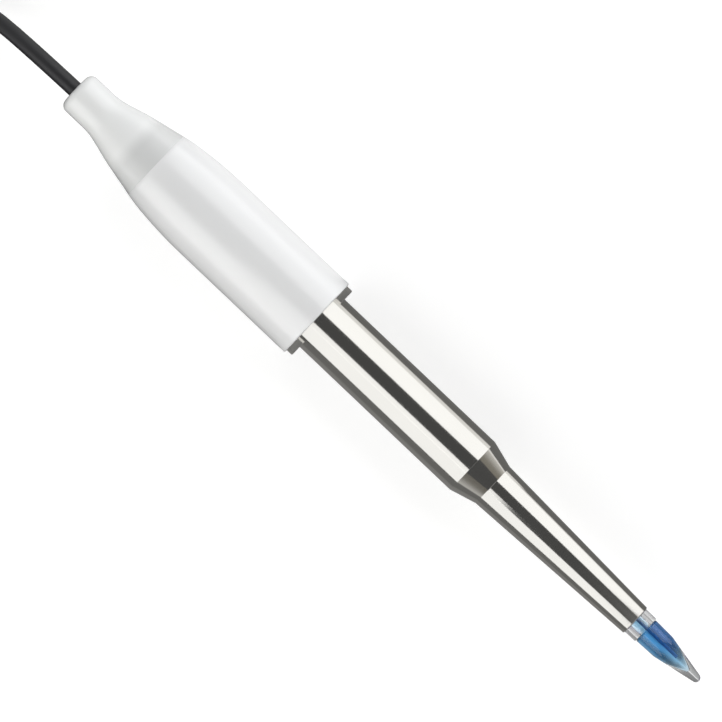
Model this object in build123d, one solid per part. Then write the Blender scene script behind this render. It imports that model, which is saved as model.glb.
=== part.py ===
from build123d import *
import math
import os

# Combination pH electrode with a polished steel body and a pointed glass tip, lying on its
# handle. X runs along the electrode towards the tip, Z is up. Stations are distances along
# the electrode from the cable end of its boot, in millimetres.

# Boot and handle
boot_length = 20.3
boot_end_diameter = 8.35
boot_corner_radius = 1.5
boot_straight_length = 5.8
flare_run_share, flare_rise_share = 0.46, 0.45
handle_length = 40.6
handle_wall = 2.6
handle_edge_radius = 0.3
shoulder_length = 14.2
shoulder_drop = 1.25
shoulder_run_share, shoulder_rise_share = 0.35, 0.61
seam_slope_share = 0.24

# Head plug inside the boot and the handle's top
nose_diameter = 5.9
nose_length = 5.9
nose_round = 1.25
plug_flange_diameter = 10.4
plug_flange_length = 3.7
lead_room_diameter = 9.2

# End ring below the handle, with two flat ears that show beside the tube
end_ring_width = 1.3
end_ring_chamfer = 0.15
ear_inset = 0.55
ear_height = 6.4
spigot_wall = 0.8
spigot_length = 1.5

# Steel body: its shank is in the handle and its shoulder holds the end ring
tube_diameter = 12.0
tube_wall = 0.9
tube_inset = 29.9
shank_step = 0.25
tube_exposed_length = 39.2
cone_length = 5.1
stem_top_diameter = 9.15
stem_end_diameter = 6.3
stem_length = 36.0
stem_wall = 0.65
stem_edge_chamfer = 0.15

# Junction ring and glass spear
ring_length = 2.6
ring_diameter = 5.7
ring_spigot_length = 2.6
ring_spigot_diameter = 4.9
glass_stem_diameter = 2.9
glass_stem_wall = 0.5
glass_wall = 0.35
spear_shoulder_diameter = 5.2
spear_body_diameter = 4.96
spear_body_length = 4.4
spear_length = 13.5
spear_point_radius = 0.85
spear_edge_radius = 0.3
solid_point_length = 2.7
inner_point_radius = 0.35

# Inside the steel body
lead_room_length = 16.2
stem_top_margin = 5.5
fill_margin = 18.0
wire_diameter = 0.5
wire_end_margin = 6.0
stopper_head_length = 1.0
stopper_length = 4.0
chamber_plug_margin = 2.0
chamber_plug_length = 6.0
reference_wire_length = 58.0
reference_wire_offset = 3.0
splice_length = 5.0
splice_wall = 0.3
core_diameter = 1.5
screen_diameter = 2.4
pigtail_diameter = 0.7
pigtail_rise_length = 5.0
pigtail_bend_radius = 1.5
crimp_ring_length = 3.0
crimp_ring_wall = 0.7

# Seals: section diameter of each ring and the width of its groove
handle_seal_section = 1.5
handle_seal_margin = 3.6
chamber_seal_section = 1.1
groove_slack = 0.3

# Clearances: still seats, the cable in its bores, and turning or sliding metal
seat_gap = 0.03
cable_gap = 0.08
running_gap = 0.08
overrun = 2.0

# Cable, with its route by hand: x from the boot's end, y from the electrode's axis
cable_diameter = 3.1
cable_end_margin = 3.3
cable_mouth_depth, cable_mouth_rise = 3.0, 0.5
lead_turn_x = -4.5
lead_low_x, lead_low_y, lead_low_drop = -26.0, -0.9, 6.7
lead_landing_x, hank_side_y, lead_end_x = -38.0, -7.1, -46.5
tail_start_x, tail_leave_x, tail_low_x = -64.0, -74.0, -88.0
arc_share = 0.45

# Hank of the cable that is put away, two turns wide and four high, and the strap round it
hank_columns = 2
hank_layers = 4
fold_radius_share = 3.0
hank_start_x = -43.0
hank_straight = 23.5
hank_waist_pinch = 3.4
hank_edge_share = 0.45
strap_width = 7.0
strap_thickness = 0.6

# Coaxial plug: stations from the cable end of its boot
plug_rear_x, plug_y = -93.5, -1.4
plug_boot_length = 17.0
plug_boot_rear_diameter = 5.6
plug_boot_front_diameter = 8.6
plug_boot_edge_radius = 0.5
plug_boot_grip_length = 5.0
plug_boot_grooves = 4
plug_groove_width = 0.9
plug_groove_depth = 0.55
ferrule_station = 9.5
ferrule_diameter = 5.5
ferrule_wall = 0.6
post_station = 10.2
post_diameter = 4.2
barrel_station = 18.0
barrel_diameter = 8.8
shoulder_station = 27.0
shoulder_diameter = 10.4
neck_station = 28.9
neck_diameter = 8.3
snap_station = 32.7
snap_width = 0.6
snap_groove_diameter = 7.7
snap_ring_diameter = 9.5
contact_diameter = 8.1
contact_end_station = 41.4
contact_slits = 4
slit_width = 0.6
slit_length = 6.4
insulator_station = 20.0
insulator_diameter = 6.4
insulator_face_station = 36.4
core_bore_diameter = 2.0
pin_cup_station = 21.0
pin_step_station = 33.0
pin_end_station = 41.0
pin_diameter = 1.35
pin_cup_diameter = 2.0
pin_round = 0.45
gasket_length = 0.8
gasket_diameter = 9.5
thrust_washer_length = 0.45
spring_length = 1.5
spring_thickness = 0.3

# Bayonet collar
collar_station = 29.0
collar_length = 13.0
collar_diameter = 14.4
collar_bore_diameter = 9.9
collar_flange_length = 1.6
grip_length = 7.0
collar_front_diameter = 13.0
collar_edge_radius = 0.35
flute_count = 30
flute_radius = 0.45
flute_depth_share = 0.7
bayonet_slots = 2
slot_width = 2.2
stud_span = 11.3
slot_entry_length = 2.9
ramp_advance = 1.8
ramp_turn_share = 0.25

# Stations that follow from the sizes above
handle_end = boot_length + handle_length
tube_start = handle_end - tube_inset
tube_end = handle_end + tube_exposed_length
cone_end = tube_end + cone_length
stem_end = cone_end + stem_length
spear_start = stem_end + ring_length
spear_body_end = spear_start + spear_body_length
tip_station = spear_start + spear_length
nose_start = boot_length - nose_length
cable_inset = boot_length - cable_end_margin
flange_end = boot_length + plug_flange_length
crimp_ring_end = flange_end + crimp_ring_length
wire_top_station = boot_length + lead_room_length
stem_top_station = wire_top_station + stem_top_margin
fill_top_station = stem_top_station + fill_margin
chamber_plug_station = stem_top_station + chamber_plug_margin
chamber_plug_end = chamber_plug_station + chamber_plug_length
spigot_start = handle_end - spigot_length
ring_spigot_start = stem_end - ring_spigot_length

handle_diameter = tube_diameter + 2 * handle_wall
seam_diameter = handle_diameter - 2 * shoulder_drop
shank_radius = tube_diameter / 2 - shank_step
spigot_room = shank_radius + 2 * seat_gap + spigot_wall
axis_height = handle_diameter / 2
boot_end_x = -tip_station / 2
cable_bore = cable_diameter / 2 + cable_gap
tube_bore = tube_diameter / 2 - tube_wall
glass_seat = glass_stem_diameter / 2 + seat_gap
fold_radius = fold_radius_share * cable_diameter


def on_electrode(shape):
    """Places a shape built along X from the boot's end on the electrode's axis."""
    return Pos(boot_end_x, 0, axis_height) * shape


def on_plug(shape):
    """Places a shape built along X from the plug's rear, with its mouth towards -X."""
    return Pos(boot_end_x + plug_rear_x, plug_y, collar_diameter / 2) * Rot(0, 0, 180) * shape


def turned(*edges):
    """Solid turned about X from the closed outline that the edges make."""
    return revolve(make_face(list(edges)), Axis.X)


def turned_points(*points):
    """Solid turned about X from a closed outline of (station, radius) points."""
    return turned(*Polyline(*points, close=True).edges())


def tube(start, end, outer, inner):
    """Straight tube along X between two stations."""
    return turned_points((start, inner), (start, outer), (end, outer), (end, inner))


def rod(start, end, radius):
    """Straight rod along X between two stations."""
    return tube(start, end, radius, 0)


def eased(outline, *corners):
    """Closed polygon face with the given corners (x, y, radius) rounded."""
    face = make_face(Polyline(*outline, close=True))
    for x, y, radius in corners:
        face = fillet(face.vertices().sort_by_distance((x, y, 0))[0], radius)
    return face


def seal_ring(station, inner_radius, section):
    """Round-section sealing ring about X, just clear of its seat."""
    minor = section / 2 - seat_gap
    return Pos(station, 0, 0) * Rot(0, 90, 0) * Torus(inner_radius + section / 2, minor)


def point_outline(start, radius, tip, point_radius):
    """Edges of a straight taper that runs into a round point on the axis, in order."""
    centre = tip - point_radius
    reach = math.hypot(centre - start, radius)
    lean = math.atan2(radius, centre - start) - math.asin(point_radius / reach)

    def on_point(angle):
        return centre + point_radius * math.sin(angle), point_radius * math.cos(angle)

    middle = (lean + math.pi / 2) / 2
    touch = on_point(lean)
    return [
        Line((start, radius), touch),
        ThreePointArc(touch, on_point(middle), (tip, 0)),
    ]


def cable_boot():
    """Soft boot: straight at the cable, flared to the handle, moulded over the plug's nose."""
    end_radius = boot_end_diameter / 2
    seam_radius = seam_diameter / 2
    flare_run = boot_length - boot_straight_length
    middle = (
        boot_straight_length + flare_run_share * flare_run,
        end_radius + flare_rise_share * (seam_radius - end_radius),
    )
    socket = nose_diameter / 2 + seat_gap
    socket_end = nose_start - seat_gap
    socket_corner = nose_round
    mouth = cable_bore + cable_mouth_rise
    corner = boot_corner_radius
    diagonal = corner * (1 - math.sqrt(1 / 2))
    socket_diagonal = socket_corner * (1 - math.sqrt(1 / 2))
    flare = Spline(
        (boot_straight_length, end_radius),
        middle,
        (boot_length, seam_radius),
        tangents=[(1, 0), (1, seam_slope_share)],
    )
    return turned(
        Line((0, mouth), (0, end_radius - corner)),
        ThreePointArc(
            (0, end_radius - corner), (diagonal, end_radius - diagonal), (corner, end_radius)
        ),
        Line((corner, end_radius), (boot_straight_length, end_radius)),
        flare,
        Line((boot_length, seam_radius), (boot_length, socket)),
        Line((boot_length, socket), (socket_end + socket_corner, socket)),
        ThreePointArc(
            (socket_end + socket_corner, socket),
            (socket_end + socket_diagonal, socket - socket_diagonal),
            (socket_end, socket - socket_corner),
        ),
        Line((socket_end, socket - socket_corner), (socket_end, cable_bore)),
        Line((socket_end, cable_bore), (cable_mouth_depth, cable_bore)),
        TangentArc((cable_mouth_depth, cable_bore), (0, mouth), tangent=(-1, 0)),
    )


def head_plug():
    """Plug in the handle's top, with the rounded nose that the boot is moulded over."""
    nose, flange = nose_diameter / 2, plug_flange_diameter / 2 - seat_gap
    outline = [
        (nose_start, cable_bore),
        (nose_start, nose),
        (boot_length + seat_gap, nose),
        (boot_length + seat_gap, flange),
        (flange_end - seat_gap, flange),
        (flange_end - seat_gap, cable_bore),
    ]
    return revolve(eased(outline, (nose_start, nose, nose_round)), Axis.X)


def handle_sleeve():
    """Moulded handle: rounded shoulder, bore for the steel tube, seal groove and seats."""
    seam, full = seam_diameter / 2, handle_diameter / 2
    shoulder_end = boot_length + shoulder_length
    middle = (
        boot_length + shoulder_run_share * shoulder_length,
        seam + shoulder_rise_share * (full - seam),
    )
    edge = handle_edge_radius
    diagonal = edge * (1 - math.sqrt(1 / 2))
    seat = shank_radius + seat_gap
    groove = shank_radius + handle_seal_section
    groove_end = handle_end - handle_seal_margin
    groove_start = groove_end - handle_seal_section - groove_slack
    inner = Polyline(
        (handle_end, full - edge),
        (handle_end, spigot_room),
        (spigot_start, spigot_room),
        (spigot_start, seat),
        (groove_end, seat),
        (groove_end, groove),
        (groove_start, groove),
        (groove_start, seat),
        (tube_start - seat_gap, seat),
        (tube_start - seat_gap, lead_room_diameter / 2),
        (flange_end, lead_room_diameter / 2),
        (flange_end, plug_flange_diameter / 2),
        (boot_length, plug_flange_diameter / 2),
        (boot_length, seam),
    )
    return turned(
        Spline(
            (boot_length, seam),
            middle,
            (shoulder_end, full),
            tangents=[(1, seam_slope_share), (1, 0)],
        ),
        Line((shoulder_end, full), (handle_end - edge, full)),
        ThreePointArc(
            (handle_end - edge, full),
            (handle_end - diagonal, full - diagonal),
            (handle_end, full - edge),
        ),
        *inner.edges(),
    )


def end_ring():
    """Ring on the shank, below the handle: a spigot inside it and two ears beside the tube."""
    bore = shank_radius + seat_gap
    outer, spigot = handle_diameter / 2 - ear_inset, spigot_room - seat_gap
    end = handle_end + end_ring_width
    ring = turned_points(
        (spigot_start + seat_gap, bore),
        (spigot_start + seat_gap, spigot),
        (handle_end, spigot),
        (handle_end, outer),
        (end - end_ring_chamfer, outer),
        (end, outer - end_ring_chamfer),
        (end, bore),
    )
    flat = Pos(handle_end, 0, ear_height / 2) * Box(
        end_ring_width + overrun,
        handle_diameter,
        handle_diameter,
        align=(Align.MIN, Align.CENTER, Align.MIN),
    )
    return ring - flat - Rot(180, 0, 0) * flat


def steel_body():
    """Turned steel body: shank, tube, cone and tapered stem round the gel chamber."""
    outer, top, low = tube_diameter / 2, stem_top_diameter / 2, stem_end_diameter / 2
    shoulder = handle_end + end_ring_width + seat_gap
    chamfer = stem_edge_chamfer
    return turned_points(
        (tube_start, shank_radius),
        (shoulder, shank_radius),
        (shoulder + shank_step, outer),
        (tube_end, outer),
        (cone_end, top),
        (stem_end - chamfer, low),
        (stem_end, low - chamfer),
        (stem_end, low - stem_wall),
        (cone_end, top - stem_wall),
        (tube_end - stem_wall, tube_bore),
        (tube_start, tube_bore),
    )


def bore_radius(station):
    """Radius of the steel body's bore at a station of its stem."""
    top, low = stem_top_diameter / 2 - stem_wall, stem_end_diameter / 2 - stem_wall
    return top + (low - top) * (station - cone_end) / stem_length


def junction_ring():
    """Clear ring between steel and glass, with a spigot up the steel stem's bore."""
    return turned_points(
        (ring_spigot_start, glass_seat),
        (ring_spigot_start, ring_spigot_diameter / 2),
        (stem_end + seat_gap, ring_spigot_diameter / 2),
        (stem_end + seat_gap, ring_diameter / 2),
        (spear_start - seat_gap, ring_diameter / 2),
        (spear_start - seat_gap, glass_seat),
    )


def spear_cavity(shrink):
    """Outline edges of the space inside the glass, drawn in by shrink, from bore to point."""
    bore = glass_stem_diameter / 2 - glass_stem_wall - shrink
    body = spear_body_diameter / 2 - glass_wall - shrink
    start = spear_start + glass_wall + shrink
    taper_start = spear_body_end - shrink
    corners = [(spear_start - glass_wall, bore), (start, body), (taper_start, body)]
    tip = tip_station - solid_point_length - shrink
    return corners, point_outline(taper_start, body, tip, inner_point_radius)


def glass_spear():
    """Blown glass: stem tube, shoulder, short body and solid round point, one piece."""
    stem, shoulder = glass_stem_diameter / 2, spear_shoulder_diameter / 2
    body = spear_body_diameter / 2
    edge = spear_edge_radius
    diagonal = edge * (1 - math.sqrt(1 / 2))
    corners, taper = spear_cavity(0)
    tip = tip_station - solid_point_length
    return turned(
        Line((stem_top_station, corners[0][1]), (stem_top_station, stem)),
        Line((stem_top_station, stem), (spear_start, stem)),
        Line((spear_start, stem), (spear_start, shoulder - edge)),
        ThreePointArc(
            (spear_start, shoulder - edge),
            (spear_start + diagonal, shoulder - diagonal),
            (spear_start + edge, shoulder),
        ),
        Line((spear_start + edge, shoulder), (spear_body_end, body)),
        *point_outline(spear_body_end, body, tip_station, spear_point_radius),
        Line((tip_station, 0), (tip, 0)),
        *taper,
        *Polyline((stem_top_station, corners[0][1]), *corners).edges(),
    )


def inner_buffer():
    """Filling solution: fills the spear and the stem tube up to its level."""
    corners, taper = spear_cavity(seat_gap)
    tip = tip_station - solid_point_length - seat_gap
    fill = turned(
        Line((tip, 0), (fill_top_station, 0)),
        *Polyline((fill_top_station, 0), (fill_top_station, corners[0][1]), *corners).edges(),
        *taper,
    )
    wire_room = wire_diameter / 2 + seat_gap
    return fill - rod(fill_top_station - overrun, measuring_end() + seat_gap, wire_room)


def measuring_end():
    """Station where the measuring wire ends, short of the glass point."""
    return tip_station - wire_end_margin


def measuring_wire():
    """Silver wire down the middle of the glass stem."""
    return rod(wire_top_station, measuring_end(), wire_diameter / 2)


def stem_stopper():
    """Silicone stopper in the top of the glass stem, with the wire through it."""
    bore = wire_diameter / 2 + seat_gap
    inside = glass_stem_diameter / 2 - glass_stem_wall - seat_gap
    return turned_points(
        (stem_top_station - stopper_head_length, bore),
        (stem_top_station - stopper_head_length, glass_stem_diameter / 2),
        (stem_top_station - seat_gap, glass_stem_diameter / 2),
        (stem_top_station - seat_gap, inside),
        (stem_top_station + stopper_length, inside),
        (stem_top_station + stopper_length, bore),
    )


def reference_wire():
    """Silver wire in the gel, beside the glass stem."""
    start = wire_top_station
    return Pos(0, 0, reference_wire_offset) * rod(
        start, start + reference_wire_length, wire_diameter / 2
    )


def reference_room():
    """Hole along the reference wire, for the pieces that it passes through."""
    start = chamber_plug_station - overrun
    end = wire_top_station + reference_wire_length + seat_gap
    radius = wire_diameter / 2 + seat_gap
    return Pos(0, 0, reference_wire_offset) * rod(start, end, radius)


def chamber_plug():
    """Plug that closes the gel chamber and holds the glass stem and the reference wire."""
    outer = tube_bore - seat_gap
    groove = tube_bore - chamber_seal_section
    middle = (chamber_plug_station + chamber_plug_end) / 2
    half_groove = (chamber_seal_section + groove_slack) / 2
    plug = turned_points(
        (chamber_plug_station, glass_seat),
        (chamber_plug_station, outer),
        (middle - half_groove, outer),
        (middle - half_groove, groove),
        (middle + half_groove, groove),
        (middle + half_groove, outer),
        (chamber_plug_end, outer),
        (chamber_plug_end, glass_seat),
    )
    return plug - reference_room()


def reference_gel():
    """Gel that fills the steel body round the glass stem."""
    start = chamber_plug_end + seat_gap
    end = ring_spigot_start - seat_gap
    gel = turned_points(
        (start, glass_seat),
        (start, tube_bore - seat_gap),
        (tube_end - stem_wall - seat_gap, tube_bore - seat_gap),
        (cone_end - seat_gap, bore_radius(cone_end) - seat_gap),
        (end, bore_radius(end) - seat_gap),
        (end, glass_seat),
    )
    return gel - reference_room()


def splice(wire, lead):
    """Sleeve over the joint of a thin wire and a thicker lead, both along X at the axis."""
    start, end = wire_top_station - splice_length / 2, wire_top_station + splice_length / 2
    outer = lead / 2 + seat_gap + splice_wall
    return turned_points(
        (start, lead / 2 + seat_gap),
        (start, outer),
        (end, outer),
        (end, wire / 2 + seat_gap),
        (wire_top_station, wire / 2 + seat_gap),
        (wire_top_station, lead / 2 + seat_gap),
    )


def shield_lead():
    """Screen round the core, past the crimp ring, and its pigtail to the reference wire."""
    inner = core_diameter / 2 + seat_gap
    screen_end = crimp_ring_end + seat_gap + pigtail_diameter
    screen = tube(cable_inset + seat_gap, screen_end, screen_diameter / 2, inner)
    beside_core = inner + pigtail_diameter / 2
    path = FilletPolyline(
        (screen_end - pigtail_diameter, 0, beside_core),
        (screen_end, 0, beside_core),
        (screen_end + pigtail_rise_length, 0, reference_wire_offset),
        (wire_top_station - seat_gap, 0, reference_wire_offset),
        radius=[pigtail_diameter, pigtail_bend_radius],
    )
    section = Plane(origin=path @ 0, z_dir=path % 0) * Circle(pigtail_diameter / 2)
    return screen + sweep(section, path=path)


def crimp_ring():
    """Ring crimped on the screen behind the head plug, which holds the cable."""
    inner = screen_diameter / 2 + seat_gap
    return tube(flange_end, crimp_ring_end, inner + crimp_ring_wall, inner)


def corner_radii(points):
    """Arc radius for each corner: a share of the shorter run over the half turn's tangent."""
    radii = []
    for before, corner, after in zip(points, points[1:], points[2:]):
        first, second = Vector(corner) - Vector(before), Vector(after) - Vector(corner)
        half_turn = math.radians(first.get_angle(second)) / 2
        radii.append(arc_share * min(first.length, second.length) / math.tan(half_turn))
    return radii


def cord_tube(name, points):
    """Cable along straight runs joined by tangent arcs."""
    radii = corner_radii(points)
    path = FilletPolyline(*points, radius=radii)
    section = Plane(origin=path @ 0, z_dir=path % 0) * Circle(cable_diameter / 2)
    solid = sweep(section, path=path)
    expected = path.length * section.area
    print(name, "length", round(path.length, 1), "radii", [round(r, 1) for r in radii])
    print(name, "volume over section times length", round(solid.volume / expected, 4))
    return solid


def lead_points():
    """Cable from inside the boot down to the floor and along the hank's side."""
    floor = cable_diameter / 2
    return [
        (boot_end_x + cable_inset, 0, axis_height),
        (boot_end_x + lead_turn_x, 0, axis_height),
        (boot_end_x + lead_low_x, lead_low_y, axis_height - lead_low_drop),
        (boot_end_x + lead_landing_x, hank_side_y, floor),
        (boot_end_x + lead_end_x, hank_side_y, floor),
    ]


def tail_points():
    """Cable from the hank's top layer down into the plug."""
    top = cable_diameter * (hank_layers - 1) + cable_diameter / 2
    plug_height = collar_diameter / 2
    return [
        (boot_end_x + tail_start_x, hank_side_y, top),
        (boot_end_x + tail_leave_x, hank_side_y, top),
        (boot_end_x + tail_low_x, plug_y, plug_height),
        (boot_end_x + plug_rear_x - ferrule_station, plug_y, plug_height),
    ]


def hank_side(radius, pinch):
    """One long side of the hank's outline, drawn in at the strap, from +X to -X."""
    start, end = 0, -hank_straight
    return Spline(
        (start, -radius),
        (end / 2, pinch - radius),
        (end, -radius),
        tangents=[(-1, 0), (-1, 0)],
    )


def hank_loop(radius, pinch):
    """Face inside a loop with round ends and pinched sides."""
    side = hank_side(radius, pinch)
    far = -hank_straight
    far_end = ThreePointArc((far, -radius), (far - radius, 0), (far, radius))
    near_end = ThreePointArc((0, radius), (radius, 0), (0, -radius))
    other = side.mirror(Plane.XZ)
    return make_face([*side.edges(), far_end, *other.edges(), near_end])


def hank_centre_y():
    """Y of the hank's middle: its outer column of turns runs along the lead's side."""
    return hank_side_y + fold_radius + (hank_columns - 1) * cable_diameter


def cable_hank():
    """Outer shape of the wound cable, with a seat for the strap round its waist."""
    inner = fold_radius - cable_diameter / 2
    outer = inner + hank_columns * cable_diameter
    height = hank_layers * cable_diameter
    loop = hank_loop(outer, hank_waist_pinch) - hank_loop(inner, hank_waist_pinch)
    solid = extrude(loop, height)
    rims = solid.edges().group_by(Axis.Z)
    solid = fillet(rims[0] + rims[-1], hank_edge_share * cable_diameter)
    band = extrude(Plane.YZ * waist_section(-overrun), strap_width / 2 + seat_gap, both=True)
    core = extrude(Plane.YZ * waist_section(strap_thickness + seat_gap), strap_width, both=True)
    seat = Pos(-hank_straight / 2, 0, height / 2) * (band - core)
    return Pos(boot_end_x + hank_start_x, hank_centre_y(), 0) * (solid - seat)


def waist_section(shrink):
    """Rounded cross-section of the hank at its waist, drawn in by shrink."""
    inner = fold_radius - cable_diameter / 2
    half_width = inner + hank_columns * cable_diameter - hank_waist_pinch
    height = hank_layers * cable_diameter
    corner = cable_diameter / 2 - shrink
    return RectangleRounded(2 * (half_width - shrink), height - 2 * shrink, corner)


def hank_strap():
    """Flat strap round the hank's waist."""
    section = waist_section(0) - waist_section(strap_thickness)
    strap = extrude(Plane.YZ * section, strap_width / 2, both=True)
    height = hank_layers * cable_diameter
    place = (boot_end_x + hank_start_x - hank_straight / 2, hank_centre_y(), height / 2)
    return Pos(*place) * strap


def plug_boot():
    """Tapered rubber strain relief with ring grooves, over the ferrule."""
    rear, front = plug_boot_rear_diameter / 2, plug_boot_front_diameter / 2
    grip = plug_boot_length - plug_boot_grip_length
    socket = ferrule_diameter / 2 + seat_gap
    outline = [
        (0, cable_bore),
        (0, rear),
        (grip, front),
        (plug_boot_length, front),
        (plug_boot_length, socket),
        (ferrule_station - seat_gap, socket),
        (ferrule_station - seat_gap, cable_bore),
    ]
    edge = plug_boot_edge_radius
    corners = [(0, rear, edge), (plug_boot_length, front, edge)]
    boot = revolve(eased(outline, *corners), Axis.X)
    pitch = grip / (plug_boot_grooves + 1)
    for number in range(1, plug_boot_grooves + 1):
        station = number * pitch
        floor = rear + (front - rear) * station / grip - plug_groove_depth
        half = plug_groove_width / 2
        boot -= tube(station - half, station + half, front + overrun, floor)
    return boot


def plug_body():
    """Plug body: crimp post, barrel, shoulder, neck with snap groove, slotted contact."""
    post, barrel = post_diameter / 2, barrel_diameter / 2
    neck, contact = neck_diameter / 2, contact_diameter / 2
    snap_end = snap_station + snap_width
    body = turned_points(
        (post_station, core_bore_diameter / 2),
        (post_station, post),
        (barrel_station, post),
        (barrel_station, barrel),
        (shoulder_station, barrel),
        (shoulder_station, shoulder_diameter / 2),
        (neck_station, shoulder_diameter / 2),
        (neck_station, neck),
        (snap_station, neck),
        (snap_station, snap_groove_diameter / 2),
        (snap_end, snap_groove_diameter / 2),
        (snap_end, contact),
        (contact_end_station, contact),
        (contact_end_station, insulator_diameter / 2),
        (insulator_station, insulator_diameter / 2),
        (insulator_station, core_bore_diameter / 2),
    )
    slit = Box(slit_length + overrun, contact_diameter + overrun, slit_width)
    middle = contact_end_station - (slit_length - overrun) / 2
    for number in range(contact_slits // 2):
        body -= Pos(middle, 0, 0) * Rot(number * 180 / (contact_slits // 2), 0, 0) * slit
    return body


def plug_insulator():
    """White insulator round the centre pin."""
    outer = insulator_diameter / 2 - seat_gap
    cup, pin = pin_cup_diameter / 2 + seat_gap, pin_diameter / 2 + seat_gap
    start = insulator_station + seat_gap
    return turned_points(
        (start, cup),
        (start, outer),
        (insulator_face_station, outer),
        (insulator_face_station, pin),
        (pin_step_station + seat_gap, pin),
        (pin_step_station + seat_gap, cup),
    )


def center_pin():
    """Centre pin with a round nose and a wider cup for the core."""
    pin, cup = pin_diameter / 2, pin_cup_diameter / 2
    outline = [
        (pin_cup_station, 0),
        (pin_cup_station, cup),
        (pin_step_station, cup),
        (pin_step_station, pin),
        (pin_end_station, pin),
        (pin_end_station, 0),
    ]
    return revolve(eased(outline, (pin_end_station, pin, pin_round)), Axis.X)


def spring_washer():
    """Coned spring washer between the thrust washer and the snap ring."""
    start = collar_station + collar_flange_length + thrust_washer_length + 2 * seat_gap
    inner, outer = neck_diameter / 2 + running_gap, snap_ring_diameter / 2
    end = start + spring_length
    return turned_points(
        (start, outer),
        (start + spring_thickness, outer),
        (end, inner),
        (end - spring_thickness, inner),
    )


def thrust_washer():
    """Flat washer that the collar turns against."""
    start = collar_station + collar_flange_length + seat_gap
    inner = neck_diameter / 2 + running_gap
    return tube(start, start + thrust_washer_length, snap_ring_diameter / 2, inner)


def ramp_slot():
    """Cutter for one bayonet ramp: a radial slot along a helix, and the hole that locks it."""
    entry = collar_station + collar_length - slot_entry_length
    helix = Helix(
        pitch=ramp_advance / ramp_turn_share,
        height=ramp_advance,
        radius=stud_span / 2,
        center=(entry, 0, 0),
        direction=(-1, 0, 0),
    )
    start, finish = helix @ 0, helix @ 1
    outward = Vector(0, start.Y, start.Z)
    section = Plane(origin=start, x_dir=outward, z_dir=helix % 0) * Rectangle(
        stud_span / 2, slot_width
    )
    slot = sweep(section, path=helix, is_frenet=True)
    for end in (start, finish):
        radial = Vector(0, end.Y, end.Z).normalized()
        hole = Plane(origin=(end.X, 0, 0), z_dir=radial) * Cylinder(
            slot_width / 2, collar_diameter, align=(Align.CENTER, Align.CENTER, Align.MIN)
        )
        slot += hole
    return slot, math.degrees(math.atan2(start.Z, start.Y))


def bayonet_collar():
    """Knurled collar with two bayonet slots: entry channels inside, ramps through the wall."""
    start, end = collar_station, collar_station + collar_length
    grip, front = collar_diameter / 2, collar_front_diameter / 2
    bore, flange_bore = collar_bore_diameter / 2, neck_diameter / 2 + running_gap
    flange_end_station = start + collar_flange_length
    grip_end = start + grip_length
    outline = [
        (start, flange_bore),
        (start, grip),
        (grip_end, grip),
        (grip_end, front),
        (end, front),
        (end, bore),
        (flange_end_station, bore),
        (flange_end_station, flange_bore),
    ]
    edge = collar_edge_radius
    corners = [(start, grip, edge), (grip_end, grip, edge), (end, front, edge)]
    collar = revolve(eased(outline, *corners), Axis.X)
    flute_axis = grip + flute_radius - flute_depth_share * flute_radius
    flute = Rot(0, 90, 0) * Cylinder(
        flute_radius, grip_length + overrun, align=(Align.CENTER, Align.CENTER, Align.MAX)
    )
    for number in range(flute_count):
        turn = Rot(number * 360 / flute_count, 0, 0)
        collar -= turn * Pos(grip_end, 0, flute_axis) * flute
    slot, angle = ramp_slot()
    channel = Pos(end - slot_entry_length, 0, 0) * Rot(angle, 0, 0) * Box(
        slot_entry_length + overrun,
        stud_span,
        slot_width,
        align=(Align.MIN, Align.CENTER, Align.CENTER),
    )
    channel -= rod(start, end + 2 * overrun, flange_bore)
    collar -= channel
    for number in range(bayonet_slots):
        collar -= Rot(number * 360 / bayonet_slots, 0, 0) * slot
    return collar


def plug_parts():
    """Pieces of the coaxial plug, each along X from the plug's rear."""
    snap_end = snap_station + snap_width
    ferrule = ferrule_diameter / 2
    return {
        "plug_boot": plug_boot(),
        "crimp_ferrule": tube(
            ferrule_station, barrel_station - seat_gap, ferrule, ferrule - ferrule_wall
        ),
        "plug_body": plug_body(),
        "plug_insulator": plug_insulator(),
        "center_pin": center_pin(),
        "plug_core": rod(ferrule_station + seat_gap, pin_cup_station - seat_gap, core_diameter / 2),
        "snap_ring": tube(
            snap_station + seat_gap,
            snap_end - seat_gap,
            snap_ring_diameter / 2,
            snap_groove_diameter / 2 + seat_gap,
        ),
        "spring_washer": spring_washer(),
        "thrust_washer": thrust_washer(),
        "plug_gasket": tube(
            snap_end + seat_gap,
            snap_end + gasket_length,
            gasket_diameter / 2,
            contact_diameter / 2 + seat_gap,
        ),
        "bayonet_collar": bayonet_collar(),
    }


def electrode_parts():
    """Pieces of the electrode, each along X from the boot's end."""
    seal_middle = handle_end - handle_seal_margin - (handle_seal_section + groove_slack) / 2
    chamber_middle = (chamber_plug_station + chamber_plug_end) / 2
    chamber_groove = tube_bore - chamber_seal_section
    shield_splice = splice(wire_diameter, pigtail_diameter)
    return {
        "cable_boot": cable_boot(),
        "head_plug": head_plug(),
        "handle_sleeve": handle_sleeve(),
        "handle_o_ring": seal_ring(seal_middle, shank_radius, handle_seal_section),
        "end_ring": end_ring(),
        "steel_body": steel_body(),
        "junction_ring": junction_ring(),
        "glass_spear": glass_spear(),
        "inner_buffer": inner_buffer(),
        "measuring_wire": measuring_wire(),
        "stem_stopper": stem_stopper(),
        "reference_wire": reference_wire(),
        "reference_gel": reference_gel(),
        "chamber_plug": chamber_plug(),
        "chamber_o_ring": seal_ring(chamber_middle, chamber_groove, chamber_seal_section),
        "core_lead": rod(cable_inset + seat_gap, wire_top_station - seat_gap, core_diameter / 2),
        "core_splice": splice(wire_diameter, core_diameter),
        "shield_lead": shield_lead(),
        "crimp_ring": crimp_ring(),
        "shield_splice": Pos(0, 0, reference_wire_offset) * shield_splice,
    }


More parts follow.
